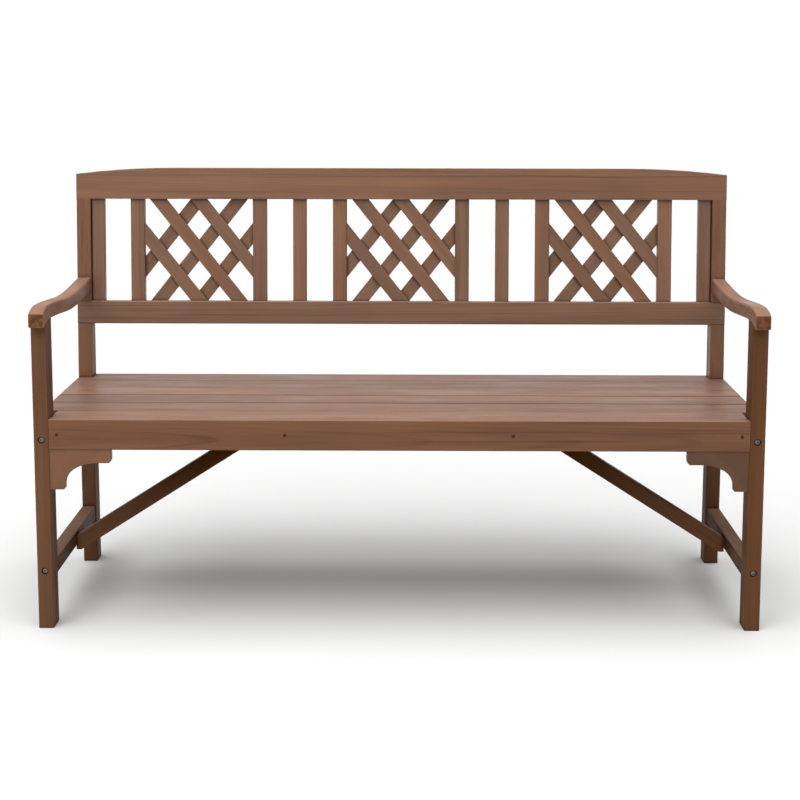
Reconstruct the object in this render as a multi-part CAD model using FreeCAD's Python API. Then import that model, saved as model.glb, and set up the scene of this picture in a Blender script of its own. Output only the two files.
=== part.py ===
"""Three-seat wooden garden bench with a trellis back, all sizes in millimetres and degrees.

The origin is on the floor under the middle of the bench. X runs along the seat, Y from front to back, Z up.
While the pieces are shaped, Y = 0 is the front face of the front legs. The last lines move all to the origin.
"""
import FreeCAD
import Part
import math
import os

from FreeCAD import Placement, Rotation, Vector

# Overall
frame_width = 1480.0          # across the outer faces of the legs
seat_height = 438.0
edge_ease = 2.5               # rounding of a timber's long edges
slat_clearance = 1.0          # between a slat and the legs it passes
overcut = 1.0                 # how far a cut runs on past a timber's face

# Front legs
front_leg_width = 31.0
front_leg_depth = 53.0
arm_tenon_width = 14.0
arm_tenon_length = 34.0
arm_tenon_height = 14.0

# Rear legs: raked below the bend, reclined and tapered above it
rear_leg_width = 32.0
rear_leg_depth = 48.0
rear_leg_setback = 461.5      # front face at the bend, behind the front face of the front legs
rear_leg_rake = 8.0           # how far the foot stands behind the bend
bend_above_seat = 21.0
bend_radius = 60.0
recline = 3.9
post_length = 388.5           # bend to top rail
post_top_depth = 32.0
post_tenon_width = 14.0
post_tenon_thickness = 14.0
post_tenon_height = 34.0

# Arms, as wide as the rear legs: heights of the upper edge above the seat, and its slopes at the ends
arm_depth = 29.0
arm_overhang = 20.0
arm_crest_setback = 33.0
arm_dip_share = 0.585         # of the way from the front legs' front face to the rear legs
arm_nose_rise = 218.0
arm_crest_rise = 229.5
arm_dip_rise = 218.0
arm_heel_rise = 230.5
arm_nose_slope = 0.5
arm_heel_slope = 0.07
arm_ease = 4.5
arm_nose_ease = 3.5
arm_under_ease = 1.5
arm_bolt_rise = 212.0         # above the seat

# Side rails and stretchers
side_rail_height = 44.0
side_bolt_drop = 3.0          # below the middle of the side rail
stretcher_thickness = 30.0
stretcher_height = 32.0
stretcher_floor_gap = 101.0
stretcher_bolt_rise = 20.0    # above the underside of the stretcher

# Seat
slat_thickness = 18.0
front_slat_width = 61.5
slat_gap = 4.0
full_slats = 5                # behind the narrower front slat
slat_ease = 1.5
apron_thickness = 26.0
apron_height = 63.0
apron_joint = 2.0             # between the apron and the front slat
rear_rail_thickness = 26.0
bearer_thickness = 30.0

# Corner brackets
bracket_length = 124.0
bracket_height = 83.0
bracket_thickness = 22.0
bracket_setback = 2.0
bracket_limb_depth = 28.0
bracket_limb_width = 29.0
bracket_hollow_length = 66.0
bracket_hollow_height = 46.0
bracket_nose = 6.0
bracket_toe = 2.0             # rounding under the lower limb

# Diagonal braces
brace_width = 32.0
brace_thickness = 26.0
brace_foot_rise = 4.6         # centre line above the underside of the stretcher
brace_foot_drop = 7.0         # level cut at its foot, below the underside of the stretcher
brace_head_drop = 17.4        # centre line below the underside of the slats
brace_screw_rise = 13.0       # above the underside of the stretcher

# Back: measured up the post from the bend, and back from the post's front face
low_rail_rise = 103.5
low_rail_height = 52.0
low_rail_thickness = 26.0
top_rail_height = 71.0
top_rail_end_drop = 14.0
top_rail_curve = 227.0        # length of the sinking curve at each end
stile_thickness = 20.0
stile_setback = 6.0
stile_width = 32.0
back_slat_width = 31.0
end_stile_width = 29.0
end_stile_gap = 1.5
stile_tenon_thickness = 12.0
stile_tenon_height = 14.0
stile_tenon_shoulder = 6.0
back_gap = 60.0               # between neighbouring stiles and slats outside the panels

# Trellis in each panel: two crossing layers of strips, each strip two spaces further along at the other rail
strip_width = 30.0
strip_thickness = 8.0
strip_share = 0.375           # of the panel's opening, from one strip to the next along a rail
strips_each_way = 3
strip_ease = 1.0

# Fixings
bolt_diameter = 6.0
bolt_length = 76.0
bolt_head_diameter = 10.0
bolt_head_height = 6.0
bolt_hole = 7.0
bolt_hole_spare = 2.0         # hole beyond the bolt's tip
counterbore_diameter = 14.0
counterbore_depth = 8.5
nut_diameter = 10.0
nut_length = 18.0
nut_bore = 6.4
nut_from_tip = 10.0
long_screw_length = 50.0
long_screw_diameter = 4.0
long_screw_head = 8.0
long_screw_drop = 32.0        # below the top of the seat
short_screw_length = 36.0
short_screw_diameter = 4.0
short_screw_head = 8.0
short_screw_grip = 14.0       # how far it enters a slat
short_screw_offset = 7.0      # beside the middle of a bearer
screw_sink = 1.0              # head below the timber's face in a rear leg
lap_screw_spread = 26.0

# Places that follow from the sizes above
half = frame_width / 2
front_inner = half - front_leg_width
rear_inner = half - rear_leg_width
front_leg_x = half - front_leg_width / 2
rear_leg_x = half - rear_leg_width / 2
bend_height = seat_height + bend_above_seat
slat_under = seat_height - slat_thickness
seat_rear = rear_leg_setback + rear_leg_depth
slat_start = apron_thickness + apron_joint
slat_width = (seat_rear - slat_start - front_slat_width) / full_slats - slat_gap
arm_dip_setback = arm_dip_share * rear_leg_setback
rail_under = slat_under - side_rail_height
apron_under = seat_height - apron_height
low_rail_top = low_rail_rise + low_rail_height
top_rail_thickness = post_top_depth
lap_depth = low_rail_thickness / 2
end_bearer_x = rear_inner - bearer_thickness / 2
end_stile_outer = rear_inner - end_stile_gap
panel_width = (2 * (end_stile_outer - end_stile_width - back_slat_width) - 6 * back_gap) / 3
panel_pitch = panel_width + back_slat_width + 2 * back_gap
panel_opening = panel_width - 2 * stile_width
inner_bearer_offset = panel_pitch / 2
strip_pitch = strip_share * panel_opening
strip_angle = math.degrees(math.atan2(post_length - low_rail_top, 2 * strip_pitch))
back_frame = Placement(Vector(0, rear_leg_setback, bend_height), Rotation(Vector(1, 0, 0), -recline))
screw_height = seat_height - long_screw_drop
stretcher_top = stretcher_floor_gap + stretcher_height
side_bolt_height = rail_under + side_rail_height / 2 - side_bolt_drop
stretcher_bolt_height = stretcher_floor_gap + stretcher_bolt_rise
arm_bolt_height = seat_height + arm_bolt_rise

# Outline of the rear leg from the side
leg_front = [
    Vector(0, rear_leg_setback + rear_leg_rake, 0),
    Vector(0, rear_leg_setback, bend_height),
    back_frame.multVec(Vector(0, 0, post_length)),
]
leg_rear = [
    Vector(0, rear_leg_setback + rear_leg_rake + rear_leg_depth, 0),
    Vector(0, seat_rear, bend_height),
    back_frame.multVec(Vector(0, post_top_depth, post_length)),
]


def leg_face_y(line, height):
    """Y of the rear leg's front or rear face at a height."""
    low, high = (line[0], line[1]) if height <= bend_height else (line[1], line[2])
    part = (height - low.z) / (high.z - low.z)
    return low.y + part * (high.y - low.y)


def block(x, y, z):
    """A box from its low and high limits along each axis."""
    return Part.makeBox(x[1] - x[0], y[1] - y[0], z[1] - z[0], Vector(x[0], y[0], z[0]))


def eased(shape, direction, radius):
    """Rounds the straight edges that run along a direction."""
    chosen = []
    for edge in shape.Edges:
        run = edge.Vertexes[-1].Point - edge.Vertexes[0].Point
        if run.Length > 4 * radius and run.cross(direction).Length < 0.001 * run.Length:
            chosen.append(edge)
    return shape.makeFillet(radius, chosen)


def timber(x, y, z, radius=edge_ease):
    """A straight timber with its long edges rounded."""
    spans = [(x[1] - x[0], Vector(1, 0, 0)), (y[1] - y[0], Vector(0, 1, 0)), (z[1] - z[0], Vector(0, 0, 1))]
    direction = max(spans, key=lambda span: span[0])[1]
    return eased(block(x, y, z), direction, radius)


def in_back(shape):
    """Sets a piece drawn square to the back into the reclined back."""
    moved = shape.copy()
    moved.Placement = back_frame.multiply(moved.Placement)
    return moved


def mirrored(shape):
    """The same piece on the other side of the bench."""
    return shape.mirror(Vector(0, 0, 0), Vector(1, 0, 0))


def turned(profile, point, direction):
    """Turns a half outline of (radius, distance) pairs about an axis that starts at a point."""
    wire = Part.makePolygon([Vector(r, 0, d) for r, d in profile + profile[:1]])
    solid = Part.Face(wire).revolve(Vector(0, 0, 0), Vector(0, 0, 1), 360)
    solid.Placement = Placement(point, Rotation(Vector(0, 0, 1), direction))
    return solid


def rod(diameter, point, direction, length):
    """A round rod or hole."""
    return Part.makeCylinder(diameter / 2, length, point, direction)


def screw(point, direction, length, diameter, head):
    """A countersunk wood screw, its head's flat face at the point."""
    cone = (head - diameter) / 2
    outline = [
        (0, 0), (head / 2, 0), (diameter / 2, cone), (diameter / 2, length - diameter), (0, length),
    ]
    return turned(outline, point, direction)


def bolt(point, direction):
    """A socket-head bolt, the underside of its head at the point."""
    outline = [
        (0, -bolt_head_height), (bolt_head_diameter / 2, -bolt_head_height), (bolt_head_diameter / 2, 0),
        (bolt_diameter / 2, 0), (bolt_diameter / 2, bolt_length), (0, bolt_length),
    ]
    return turned(outline, point, direction)


def bolted(point, direction, under):
    """A bolt, its barrel nut and their holes: the counterbore opens at the point, the nut hole from below."""
    seat = point + direction * counterbore_depth
    centre = seat + direction * (bolt_length - nut_from_tip)
    nut = rod(nut_diameter, centre - Vector(0, 0, nut_length / 2), Vector(0, 0, 1), nut_length)
    nut = nut.cut(rod(nut_bore, centre - direction * nut_diameter, direction, 2 * nut_diameter))
    lead = point - direction * counterbore_depth
    nut_top = centre.z + nut_length / 2
    holes = [
        rod(counterbore_diameter, lead, direction, 2 * counterbore_depth),
        rod(bolt_hole, seat, direction, bolt_length + bolt_hole_spare),
        rod(nut_diameter, Vector(centre.x, centre.y, under), Vector(0, 0, 1), nut_top - under),
    ]
    return bolt(seat, direction), nut, holes


def arm_edge(drop):
    """The arm's upper edge, or its lower edge a drop below: from nose to heel, level at crest and dip."""
    setbacks = [-arm_overhang, arm_crest_setback, arm_dip_setback, rear_leg_setback + rear_leg_depth / 2]
    rises = [arm_nose_rise, arm_crest_rise, arm_dip_rise, arm_heel_rise]
    slopes = [arm_nose_slope, 0, 0, arm_heel_slope]
    points = [Vector(0, y, seat_height + rise - drop) for y, rise in zip(setbacks, rises)]
    edges = []
    for start, end, leaving, arriving in zip(points, points[1:], slopes, slopes[1:]):
        third = (end.y - start.y) / 3
        curve = Part.BezierCurve()
        curve.setPoles([
            start,
            start + Vector(0, third, leaving * third),
            end - Vector(0, third, arriving * third),
            end,
        ])
        edges.append(curve.toShape())
    return edges, points


def arm_blank(inner, outer):
    """The sawn arm between two X limits, running on into the rear leg."""
    upper, top = arm_edge(0)
    lower, bottom = arm_edge(arm_depth)
    ends = [Part.makeLine(bottom[0], top[0]), Part.makeLine(top[-1], bottom[-1])]
    outline = Part.Wire(Part.__sortEdges__(upper + lower + ends))
    blank = Part.Face(outline).extrude(Vector(outer - inner, 0, 0))
    blank.translate(Vector(inner, 0, 0))
    return blank


def arm_long_edges(shape, side):
    """The edges along an arm's upper faces (side 1) or its lower faces (side -1)."""
    chosen = []
    for face in shape.Faces:
        u, v = face.Surface.parameter(face.CenterOfMass)
        if face.normalAt(u, v).z * side > 0.5:
            chosen += [edge for edge in face.Edges if edge.BoundBox.XLength < overcut]
    return chosen


def eased_arm(blank):
    """Rounds the arm's upper edges, then the upright edges of its nose, and its lower edges least."""
    rounded = blank.makeFillet(arm_ease, arm_long_edges(blank, 1))
    nose = []
    for edge in rounded.Edges:
        box = edge.BoundBox
        if box.YMax < overcut - arm_overhang and box.ZLength > arm_depth / 2:
            nose.append(edge)
    rounded = rounded.makeFillet(arm_nose_ease, nose)
    return rounded.makeFillet(arm_under_ease, arm_long_edges(rounded, -1))


def bent_line(line):
    """Two straight runs joined by an arc at the bend."""
    low, bend, high = line
    before = (bend - low).normalize()
    after = (high - bend).normalize()
    turn = before.getAngle(after)
    start = bend - before * (bend_radius * math.tan(turn / 2))
    end = bend + after * (bend_radius * math.tan(turn / 2))
    towards = (after - before).normalize()
    middle = bend + towards * (bend_radius / math.cos(turn / 2) - bend_radius)
    return [Part.makeLine(low, start), Part.Arc(start, middle, end).toShape(), Part.makeLine(end, high)]


def rear_leg_blank(inner, outer):
    """The bent rear leg without its joints, between two X limits."""
    ends = [Part.makeLine(leg_front[0], leg_rear[0]), Part.makeLine(leg_front[2], leg_rear[2])]
    edges = Part.__sortEdges__(bent_line(leg_front) + bent_line(leg_rear) + ends)
    blank = Part.Face(Part.Wire(edges)).extrude(Vector(outer - inner, 0, 0))
    blank.translate(Vector(inner, 0, 0))
    return blank


def eased_rear_leg(blank):
    """Rounds the long edges of the rear leg."""
    sides = []
    for edge in blank.Edges:
        run = edge.Vertexes[-1].Point - edge.Vertexes[0].Point
        if abs(run.x) < 0.001 and abs(run.z) > abs(run.y):
            sides.append(edge)
    return blank.makeFillet(edge_ease, sides)


def top_rail_blank():
    """The top rail, drawn square to the back, with a shallow curve sinking towards each end."""
    top = post_length + top_rail_height
    start = half - top_rail_curve
    radius = (top_rail_curve ** 2 + top_rail_end_drop ** 2) / (2 * top_rail_end_drop)
    middle = radius - math.sqrt(radius ** 2 - (top_rail_curve / 2) ** 2)
    low = [Vector(-half, 0, post_length), Vector(half, 0, post_length)]
    right = [
        Vector(half, 0, top - top_rail_end_drop),
        Vector(start + top_rail_curve / 2, 0, top - middle),
        Vector(start, 0, top),
    ]
    left = [Vector(-point.x, 0, point.z) for point in right]
    edges = [
        Part.makeLine(low[0], low[1]),
        Part.makeLine(low[1], right[0]),
        Part.Arc(right[0], right[1], right[2]).toShape(),
        Part.makeLine(right[2], left[2]),
        Part.Arc(left[2], left[1], left[0]).toShape(),
        Part.makeLine(left[0], low[0]),
    ]
    blank = Part.Face(Part.Wire(edges)).extrude(Vector(0, top_rail_thickness, 0))
    crown = []
    for edge in blank.Edges:
        box = edge.BoundBox
        if box.ZMin > post_length + edge_ease and box.YLength < edge_ease:
            crown.append(edge)
    return blank.makeFillet(edge_ease, crown)


def bracket_blank():
    """A corner bracket: two limbs joined by a hollow quarter ellipse, their free corners rounded."""
    def at(along, down):
        return Vector(front_inner - along, bracket_setback, apron_under - down)

    def corner(start, middle, end):
        return Part.Arc(start, middle, end).toShape()

    bulge = math.sqrt(0.5)
    nose_along = bracket_length - bracket_nose
    nose_down = bracket_limb_depth - bracket_nose
    toe_along = bracket_limb_width - bracket_toe
    toe_down = bracket_height - bracket_toe
    hollow_along = bracket_limb_width + bracket_hollow_length
    hollow_down = bracket_limb_depth + bracket_hollow_height
    centre = at(hollow_along, hollow_down)
    hollow = Part.Ellipse(at(bracket_limb_width, hollow_down), at(hollow_along, bracket_limb_depth), centre)
    nose_middle = at(nose_along + bracket_nose * bulge, nose_down + bracket_nose * bulge)
    toe_middle = at(toe_along + bracket_toe * bulge, toe_down + bracket_toe * bulge)
    edges = [
        Part.makeLine(at(0, 0), at(bracket_length, 0)),
        Part.makeLine(at(bracket_length, 0), at(bracket_length, nose_down)),
        corner(at(bracket_length, nose_down), nose_middle, at(nose_along, bracket_limb_depth)),
        Part.makeLine(at(nose_along, bracket_limb_depth), at(hollow_along, bracket_limb_depth)),
        hollow.toShape(0, math.pi / 2),
        Part.makeLine(at(bracket_limb_width, hollow_down), at(bracket_limb_width, toe_down)),
        corner(at(bracket_limb_width, toe_down), toe_middle, at(toe_along, bracket_height)),
        Part.makeLine(at(toe_along, bracket_height), at(0, bracket_height)),
        Part.makeLine(at(0, bracket_height), at(0, 0)),
    ]
    outline = Part.Wire(Part.__sortEdges__(edges))
    return Part.Face(outline).extrude(Vector(0, bracket_thickness, 0))


def brace_blank():
    """A diagonal brace, cut to the stretcher and bearer at its ends and level at its foot and head."""
    inner = half - stretcher_thickness
    outer = inner_bearer_offset + bearer_thickness / 2
    foot = Vector(inner, brace_middle, stretcher_floor_gap + brace_foot_rise)
    head = Vector(outer, brace_middle, slat_under - brace_head_drop)
    run = head - foot
    spare = 3 * brace_width
    thick = (-brace_thickness / 2, brace_thickness / 2)
    bar = timber((-spare, run.Length + spare), thick, (-brace_width / 2, brace_width / 2))
    slope = math.degrees(math.atan2(run.z, -run.x))
    bar.Placement = Placement(foot, Rotation(Vector(0, 1, 0), 180 + slope))
    y = (brace_middle - brace_thickness, brace_middle + brace_thickness)
    return bar.common(block((outer, inner), y, (stretcher_floor_gap - brace_foot_drop, slat_under)))


def back_board(low, high):
    """A stile or slat of the back between two X limits, and the tenons at its ends."""
    y = (stile_setback, stile_setback + stile_thickness)
    board = timber((low, high), y, (low_rail_top, post_length))
    middle = stile_setback + stile_thickness / 2
    tenon_y = (middle - stile_tenon_thickness / 2, middle + stile_tenon_thickness / 2)
    tenon_x = (low + stile_tenon_shoulder, high - stile_tenon_shoulder)
    foot = block(tenon_x, tenon_y, (low_rail_top - stile_tenon_height, low_rail_top))
    head = block(tenon_x, tenon_y, (post_length, post_length + stile_tenon_height))
    return board.fuse([foot, head]).removeSplitter(), foot, head


def trellis(centre):
    """The strips of one panel as (layer, number, shape): falling ones in front, rising ones behind."""
    reach = panel_opening / 2
    middle = stile_setback + stile_thickness / 2
    deep = (stile_setback, stile_setback + stile_thickness)
    room = block((centre - reach, centre + reach), deep, (low_rail_top, post_length))
    long = panel_width + post_length
    level = (low_rail_top + post_length) / 2
    made = []
    layers = (("front", middle - strip_thickness, strip_angle), ("rear", middle, -strip_angle))
    for layer, start, slope in layers:
        for number in range(strips_each_way):
            x = centre + (number - (strips_each_way - 1) / 2) * strip_pitch
            across = (-strip_width / 2, strip_width / 2)
            strip = timber((-long / 2, long / 2), (0, strip_thickness), across, strip_ease)
            strip.Placement = Placement(Vector(x, start, level), Rotation(Vector(0, 1, 0), slope))
            made.append((layer, number + 1, strip.common(room)))
    return made


def fitted(shape, tools):
    """Cuts the holes, pockets and screws that reach a piece out of it."""
    near = [tool for tool in tools if tool.BoundBox.intersect(shape.BoundBox)]
    return shape.cut(near) if near else shape


def both_sides(shapes):
    """The shapes of the right half with those of the left half."""
    return shapes + [mirrored(shape) for shape in shapes]


def long_screw(point, direction):
    """A screw that joins frame timbers, its head flush at the point."""
    return screw(point, direction, long_screw_length, long_screw_diameter, long_screw_head)


def short_screw(point, direction):
    """A screw that holds a slat, bracket or back rail, its head's face at the point."""
    return screw(point, direction, short_screw_length, short_screw_diameter, short_screw_head)


forward = Vector(0, -1, 0)
backward = Vector(0, 1, 0)
up = Vector(0, 0, 1)
inward = Vector(-1, 0, 0)
outward = Vector(1, 0, 0)
brace_middle = (front_leg_depth + leg_face_y(leg_front, stretcher_top)) / 2

# Slats from the front, as their front and rear limits
slats = []
for number in range(full_slats):
    rear = seat_rear - number * (slat_width + slat_gap)
    slats.insert(0, (rear - slat_width, rear))
slats.insert(0, (slat_start, slat_start + front_slat_width))

# Fixings of the right half, with the holes they need
bolts = []
nuts = []
holes = []
for height, under in ((side_bolt_height, rail_under), (stretcher_bolt_height, stretcher_floor_gap)):
    fore = bolted(Vector(front_leg_x, 0, height), backward, under)
    aft = bolted(Vector(front_leg_x, leg_face_y(leg_rear, height), height), forward, under)
    for made, nut, room in (fore, aft):
        bolts.append(made)
        nuts.append(nut)
        holes += room
arm_bolt_start = Vector(rear_leg_x, leg_face_y(leg_rear, arm_bolt_height), arm_bolt_height)
made, nut, room = bolted(arm_bolt_start, forward, arm_bolt_height - arm_depth)
bolts.append(made)
nuts.append(nut)
holes += room

long_screws = []
short_screws = []
bearer_places = [inner_bearer_offset, end_bearer_x]
for x in bearer_places:
    long_screws.append(long_screw(Vector(x, 0, screw_height), backward))
    long_screws.append(long_screw(Vector(x, seat_rear, screw_height), forward))
    for front, rear in slats:
        head_height = slat_under + short_screw_grip - short_screw_length
        start = Vector(x - short_screw_offset, (front + rear) / 2, head_height)
        short_screws.append(short_screw(start, up))
        below = Vector(start.x, start.y, rail_under)
        holes.append(rod(short_screw_head, below, up, head_height - rail_under))
for front, rear in (slats[2], slats[4]):
    start = Vector(end_bearer_x - bearer_thickness / 2, front - slat_gap / 2, side_bolt_height)
    long_screws.append(long_screw(start, outward))
brace_foot_screw = Vector(half, brace_middle, stretcher_floor_gap + brace_screw_rise)
long_screws.append(long_screw(brace_foot_screw, inward))
brace_head_x = inner_bearer_offset - bearer_thickness / 2
brace_head_screw = Vector(brace_head_x, brace_middle, slat_under - brace_head_drop)
long_screws.append(long_screw(brace_head_screw, outward))
bracket_flat = (bracket_limb_width + bracket_hollow_length + bracket_length - bracket_nose) / 2
bracket_screw = Vector(
    front_inner - bracket_flat, bracket_setback + bracket_thickness / 2, apron_under - bracket_limb_depth
)
short_screws.append(short_screw(bracket_screw, up))
for side in (-1, 1):
    rise = low_rail_rise + low_rail_height / 2 + side * lap_screw_spread / 2
    depth = rear_leg_depth + (post_top_depth - rear_leg_depth) * rise / post_length
    start = back_frame.multVec(Vector(rear_leg_x, depth - screw_sink, rise))
    through = back_frame.Rotation.multVec(forward)
    short_screws.append(short_screw(start, through))
    holes.append(rod(short_screw_head, start, through * -1, 4 * screw_sink))
right_tools = holes + long_screws + short_screws
tools = both_sides(right_tools)

# Pieces that come in right and left pairs
pairs = {}
leg_cutter = rear_leg_blank(rear_inner - overcut, half + overcut)
arm_cutter = arm_blank(rear_inner - overcut, half + overcut)
crest_under = seat_height + arm_crest_rise - arm_depth
arm_tenon = block(
    (front_leg_x - arm_tenon_width / 2, front_leg_x + arm_tenon_width / 2),
    ((front_leg_depth - arm_tenon_length) / 2, (front_leg_depth + arm_tenon_length) / 2),
    (slat_under, crest_under + arm_tenon_height),
)
front_leg = timber((front_inner, half), (0, front_leg_depth), (0, crest_under + arm_depth / 2))
pairs["front_leg"] = front_leg.cut(arm_cutter).fuse(arm_tenon).removeSplitter()
arm = eased_arm(arm_blank(rear_inner, half))
pairs["arm"] = arm.cut([leg_cutter, arm_tenon])

post_tenon = block(
    (rear_leg_x - post_tenon_width / 2, rear_leg_x + post_tenon_width / 2),
    ((post_top_depth - post_tenon_thickness) / 2, (post_top_depth + post_tenon_thickness) / 2),
    (low_rail_top, post_length + post_tenon_height),
)
lap = block((rear_inner - overcut, half + overcut), (-overcut, lap_depth), (low_rail_rise, low_rail_top))
rear_leg = eased_rear_leg(rear_leg_blank(rear_inner, half)).fuse(in_back(post_tenon)).removeSplitter()
pairs["rear_leg"] = rear_leg.cut(in_back(lap))

for name, inner, low, high in (
    ("side_rail", rear_inner, rail_under, slat_under),
    ("stretcher", half - stretcher_thickness, stretcher_floor_gap, stretcher_top),
):
    y = (front_leg_depth, leg_face_y(leg_front, low) + rear_leg_depth / 2)
    pairs[name] = timber((inner, half), y, (low, high)).cut(leg_cutter)

bearer_y = (apron_thickness, seat_rear - rear_rail_thickness)
for name, x in (("inner_bearer", inner_bearer_offset), ("end_bearer", end_bearer_x)):
    across = (x - bearer_thickness / 2, x + bearer_thickness / 2)
    pairs[name] = timber(across, bearer_y, (rail_under, slat_under))
pairs["corner_bracket"] = bracket_blank()
pairs["brace"] = brace_blank()

parts = {}
for name, shape in pairs.items():
    parts[name + "_right"] = fitted(shape, right_tools)
    parts[name + "_left"] = mirrored(parts[name + "_right"])

# Seat across the bench
apron = timber((-front_inner, front_inner), (0, apron_thickness), (apron_under, seat_height))
parts["front_apron"] = fitted(apron, tools)
rear_rail_y = (seat_rear - rear_rail_thickness, seat_rear)
rear_rail = timber((-rear_inner, rear_inner), rear_rail_y, (rail_under, slat_under))
parts["rear_rail"] = fitted(rear_rail, tools)
notch_front = leg_face_y(leg_front, seat_height) - slat_clearance
notch = block(
    (rear_inner - slat_clearance, half + overcut),
    (notch_front, seat_rear + rear_leg_depth),
    (slat_under - overcut, seat_height + overcut),
)
for number, limits in enumerate(slats):
    reach = front_inner - slat_clearance if number == 0 else half
    slat = timber((-reach, reach), limits, (slat_under, seat_height), slat_ease)
    if number == full_slats:
        slat = slat.cut(both_sides([notch]))
    parts["seat_slat_%d" % (number + 1)] = fitted(slat, tools)

# Back
boards = {}
for side, name in ((-1, "left"), (1, "right")):
    ends = sorted([side * end_stile_outer, side * (end_stile_outer - end_stile_width)])
    boards["end_stile_" + name] = back_board(ends[0], ends[1])
    middle = side * panel_pitch / 2
    boards["back_slat_" + name] = back_board(middle - back_slat_width / 2, middle + back_slat_width / 2)
panels = (("left", -panel_pitch), ("middle", 0.0), ("right", panel_pitch))
for name, centre in panels:
    low = centre - panel_width / 2
    high = centre + panel_width / 2
    boards["lattice_stile_%s_1" % name] = back_board(low, low + stile_width)
    boards["lattice_stile_%s_2" % name] = back_board(high - stile_width, high)
    for layer, number, strip in trellis(centre):
        parts["lattice_strip_%s_%s_%d" % (name, layer, number)] = in_back(strip)
feet = []
heads = both_sides([post_tenon])
for name, (board, foot, head) in boards.items():
    parts[name] = in_back(board)
    feet.append(foot)
    heads.append(head)

low_rail = timber((-half, half), (0, low_rail_thickness), (low_rail_rise, low_rail_top))
halving = block(
    (rear_inner, half + overcut),
    (lap_depth, low_rail_thickness + overcut),
    (low_rail_rise - overcut, low_rail_top + overcut),
)
parts["lower_back_rail"] = fitted(in_back(low_rail.cut(both_sides([halving]) + feet)), tools)
parts["top_rail"] = in_back(top_rail_blank().cut(heads))

# Move to the origin and write; fixings of one kind share a file as separate solids
extent = Part.makeCompound(list(parts.values())).optimalBoundingBox(False, False)
middle_y = (extent.YMin + extent.YMax) / 2
groups = {"frame_bolts": bolts, "barrel_nuts": nuts, "long_screws": long_screws, "short_screws": short_screws}
os.makedirs("parts", exist_ok=True)
for name, shape in parts.items():
    if len(shape.Solids) != 1:
        raise ValueError("%s is %d solids" % (name, len(shape.Solids)))
    piece = shape.Solids[0].copy()
    piece.translate(Vector(0, -middle_y, 0))
    piece.exportStep("parts/%s.step" % name)
for name, shapes in groups.items():
    group = Part.makeCompound(both_sides(shapes))
    group.translate(Vector(0, -middle_y, 0))
    group.exportStep("parts/%s.step" % name)
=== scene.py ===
"""Looks of a wooden garden bench: stained softwood, zinc-plated fixings and a studio stage, all in metres."""
import math
import random

import bmesh
import bpy
import numpy as np
from mathutils import Matrix, Vector


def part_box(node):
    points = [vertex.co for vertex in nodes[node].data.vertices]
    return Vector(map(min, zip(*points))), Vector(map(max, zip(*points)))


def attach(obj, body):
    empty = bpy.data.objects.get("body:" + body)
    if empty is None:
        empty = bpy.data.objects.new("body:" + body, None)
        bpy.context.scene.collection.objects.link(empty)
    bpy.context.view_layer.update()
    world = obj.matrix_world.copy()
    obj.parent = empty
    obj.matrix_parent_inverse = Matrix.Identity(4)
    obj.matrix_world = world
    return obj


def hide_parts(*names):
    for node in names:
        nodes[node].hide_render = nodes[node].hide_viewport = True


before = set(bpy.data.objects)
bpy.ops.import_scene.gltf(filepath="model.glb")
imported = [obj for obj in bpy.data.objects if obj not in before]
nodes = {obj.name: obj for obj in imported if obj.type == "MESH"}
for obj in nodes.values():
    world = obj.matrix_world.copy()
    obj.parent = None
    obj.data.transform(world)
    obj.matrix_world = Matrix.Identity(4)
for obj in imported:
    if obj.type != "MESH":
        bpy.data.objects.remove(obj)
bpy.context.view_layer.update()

bl_info = {
    "name": "Garden bench",
    "version": (1, 0, 0),
    "blender": (4, 5, 0),
    "location": "View3D > Sidebar > Bench",
    "description": "Dresses the bench frame in stained timber and plated fixings",
    "category": "Object",
}

WHITE = (1.0, 1.0, 1.0)
SAME_POINT = 1e-6  # points nearer than this are one
SAME_LENGTH = 1e-5  # lengths that differ by less than this are equal
SHARP_EDGE = math.radians(35)  # edges that turn further than this are not smoothed


def setting(title, description, default, **limits):
    """A number that a user may change, or as many as a size says."""
    kind = bpy.props.FloatVectorProperty if "size" in limits else bpy.props.FloatProperty
    return kind(name=title, description=description, default=default, **limits)


def length_of(title, description, default):
    """Setting for a length."""
    return setting(title, description, default, unit="LENGTH", min=0.0001)


def angle_of(title, description, degrees):
    """Setting for an angle."""
    return setting(title, description, math.radians(degrees), subtype="ANGLE")


def share_of(title, description, default):
    """Setting for a share of one."""
    return setting(title, description, default, subtype="FACTOR", min=0.0, max=1.0)


def place_of(title, description, default):
    """Setting for a place."""
    return setting(title, description, default, subtype="TRANSLATION", size=3)


def colour_of(title, description, default):
    """Setting for a colour or a tint."""
    return setting(title, description, default, subtype="COLOR", size=3, min=0.0, max=1.0)


def stain_of(timbers, tone, shine, figure=1.0, painted_sheen=0.0, grime_and_shade=0.6, painted_shade=(0.0, 0.0, 0.0)):
    """Setting for the stain on a group of timbers.

    Tone is its brightness, shine its satin and figure the strength of the grain. Painted sheen is how much
    paler the upward faces are painted, as a sheen from the sky, and grime and shade how dark joints, gaps and
    corners are painted, partly as grime and partly as shade. Painted shade is how much darker the faces are
    painted that look to the front or the middle of the bench, as the seat's shade: near the floor, under the
    seat and above it.
    """
    parts = "Tone, shine, figure, fade, grime and three steps of shelter of the "
    coat = (tone, shine, figure, painted_sheen, grime_and_shade, *painted_shade)
    return setting(timbers, parts + timbers.lower(), coat, size=8, min=0.0, max=3.0)


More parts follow.
